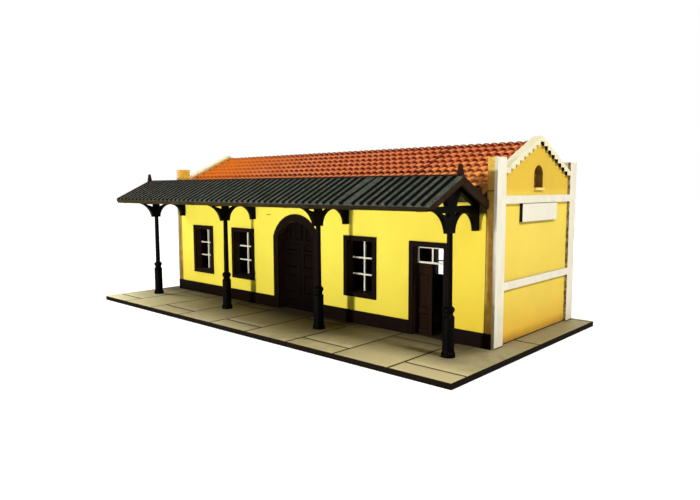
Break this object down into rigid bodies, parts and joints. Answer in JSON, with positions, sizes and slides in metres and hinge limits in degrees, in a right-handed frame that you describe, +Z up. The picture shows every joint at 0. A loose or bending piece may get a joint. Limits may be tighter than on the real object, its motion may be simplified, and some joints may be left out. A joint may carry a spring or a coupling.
{
  "type": "model railway station building",
  "caption": "Model railway station: long yellow hall with stepped-coping gables and a tiled roof, a platform canopy on turned columns, on its own paved board.",
  "frame": {"origin": "middle of the house's plan, on the underside of the base board", "axes": "+X along the platform front, to the right seen from the platform; +Y from the platform to the back; +Z up"},
  "size_m": [0.2044, 0.106, 0.0744],
  "materials": {
    "board": "engraved, matt",
    "wall_yellow": "painted, matt",
    "trim_white": "painted, matt",
    "dark_brown": "painted, matt",
    "door_brown": "stained, matt",
    "tile_orange": "matt",
    "sheet_grey": "matt",
    "ironwork_black": "painted, satin",
    "barge_brown": "painted, matt"
  },
  "bodies": {
    "root": {"back_main_door": "door_brown", "back_plinth": "dark_brown", "back_side_door": "door_brown", "back_surrounds": "dark_brown", "back_wall": "wall_yellow", "back_window_frames": "trim_white", "base_board": "board", "canopy_back_sheet": "sheet_grey", "canopy_barge_boards": "barge_brown", "canopy_column_1": "ironwork_black", "canopy_column_2": "ironwork_black", "canopy_column_3": "ironwork_black", "canopy_column_4": "ironwork_black", "canopy_fascia": "barge_brown", "canopy_front_sheet": "sheet_grey", "canopy_ridge_cap": "sheet_grey", "canopy_truss_1": "ironwork_black", "canopy_truss_2": "ironwork_black", "canopy_truss_3": "ironwork_black", "canopy_truss_4": "ironwork_black", "front_plinth": "dark_brown", "front_wall": "wall_yellow", "front_window_frames": "trim_white", "front_window_surrounds": "dark_brown", "left_attic_shutter": "door_brown", "left_attic_sill": "trim_white", "left_gable_coping": "trim_white", "left_gable_trim": "trim_white", "left_gable_wall": "wall_yellow", "main_door_fanlight": "door_brown", "main_door_left_leaf": "door_brown", "main_door_right_leaf": "door_brown", "main_door_surround": "dark_brown", "main_roof_back": "tile_orange", "main_roof_front": "tile_orange", "main_roof_ridge": "tile_orange", "right_attic_shutter": "door_brown", "right_attic_sill": "trim_white", "right_gable_coping": "trim_white", "right_gable_sign": "trim_white", "right_gable_trim": "trim_white", "right_gable_wall": "wall_yellow", "side_door_left_leaf": "door_brown", "side_door_right_leaf": "door_brown", "side_door_surround": "dark_brown", "side_door_transom": "trim_white"}
  },
  "joints": []
}
